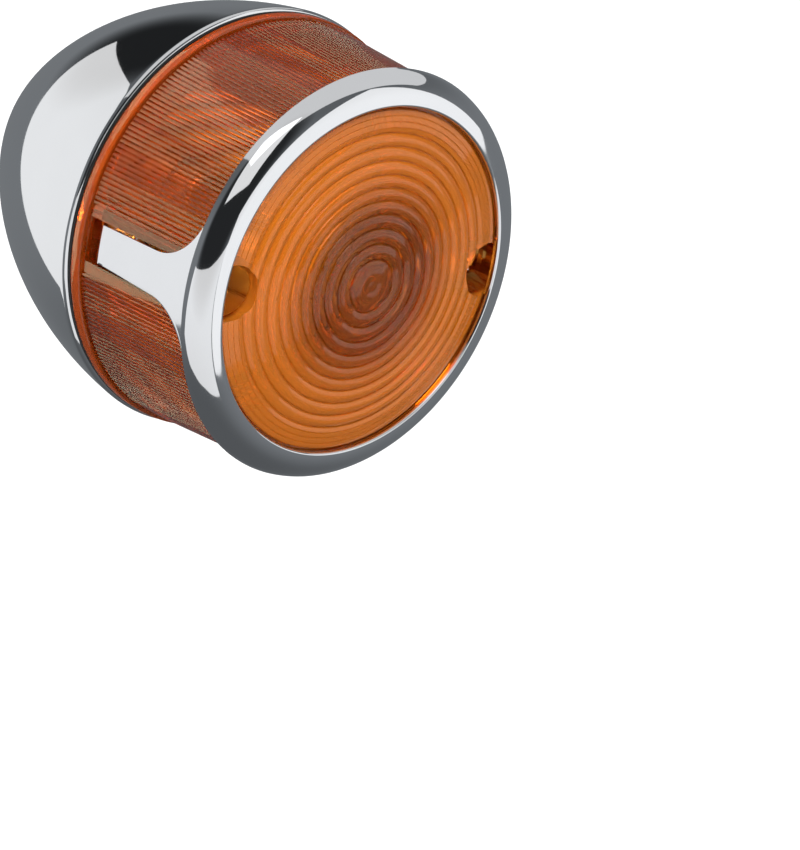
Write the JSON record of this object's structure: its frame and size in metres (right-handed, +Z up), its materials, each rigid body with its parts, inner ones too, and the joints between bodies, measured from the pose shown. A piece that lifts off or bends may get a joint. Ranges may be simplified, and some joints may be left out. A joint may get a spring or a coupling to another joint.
{
  "type": "turn signal indicator",
  "caption": "Round bullet-shaped motorcycle turn signal with amber lens, chrome trim ring and housing, bayonet bulb and a ball-jointed threaded mounting stud.",
  "frame": {"origin": "on the mounting stud's axis where its free thread starts, at the star washer's outer face", "axes": "+X along the stud, away from the lamp; -Y the way the lens faces; +Z up"},
  "size_m": [0.1149, 0.0984, 0.0838],
  "materials": {
    "chrome_shell": "mirror chrome plate on die-cast zinc",
    "chrome_trim": "mirror chrome plate",
    "amber_lens": "clear amber, moulded",
    "black_rubber": "matt",
    "nylon": "satin",
    "plated_steel": "bright zinc plate",
    "black_steel": "black oxide",
    "reflector_sheet": "polished",
    "plated_brass": "drawn",
    "phenolic": "moulded",
    "spring_steel": "bright",
    "bulb_glass": "clear",
    "tungsten": "drawn wire",
    "bulb_black": "vitrified",
    "solder": "dull"
  },
  "bodies": {
    "mount": {"mount_stud": "plated_steel", "jam_nut": "plated_steel", "star_washer": "plated_steel"},
    "swivel": {"ball_seat": "nylon"},
    "lamp": {"housing": "chrome_shell", "clamp_cap": "chrome_shell", "cap_set_screw": "black_steel", "lens_gasket": "black_rubber", "wire_grommet": "black_rubber", "reflector": "reflector_sheet", "reflector_screw_top": "plated_steel", "reflector_screw_bottom": "plated_steel", "socket_shell": "plated_brass", "socket_rivet_left": "plated_brass", "socket_rivet_right": "plated_brass", "socket_back": "phenolic", "ground_terminal": "plated_brass", "contact_spring": "spring_steel"},
    "contacts": {"contact_plate": "phenolic", "contact_pip_left": "plated_brass", "contact_pip_right": "plated_brass"},
    "bulb": {"bulb_base": "plated_brass", "bulb_glass": "bulb_glass", "bulb_stem": "bulb_glass", "filament_bright": "tungsten", "filament_dim": "tungsten", "bulb_insulator": "bulb_black", "solder_contact_left": "solder", "solder_contact_right": "solder"},
    "lens_unit": {"lens": "amber_lens", "trim_ring": "chrome_trim", "lens_washer_left": "plated_steel", "lens_washer_right": "plated_steel", "lens_screw_left": "plated_steel", "lens_screw_right": "plated_steel"}
  },
  "joints": [
    {"name": "aim_side", "type": "hinge", "parent": "mount", "child": "swivel", "pos_m": [-0.0184, 0, 0], "axis": [0, 0, 1], "range_deg": [-12, 12]},
    {"name": "aim_up", "type": "hinge", "parent": "swivel", "child": "lamp", "pos_m": [-0.0184, 0, 0], "axis": [1, 0, 0], "range_deg": [-30, 30]},
    {"name": "lens_off", "type": "slide", "parent": "lamp", "child": "lens_unit", "axis": [0, -1, 0], "range_m": [0, 0.05]},
    {"name": "bulb_press", "type": "slide", "parent": "lamp", "child": "contacts", "axis": [0, 1, 0], "range_m": [0, 0.0024], "stiffness_N_per_m": 1500, "springref_m": -0.005, "deforming": ["contact_spring"]},
    {"name": "bulb_twist", "type": "hinge", "parent": "contacts", "child": "bulb", "pos_m": [-0.0614, 0, 0], "axis": [0, -1, 0], "range_deg": [0, 22]}
  ]
}
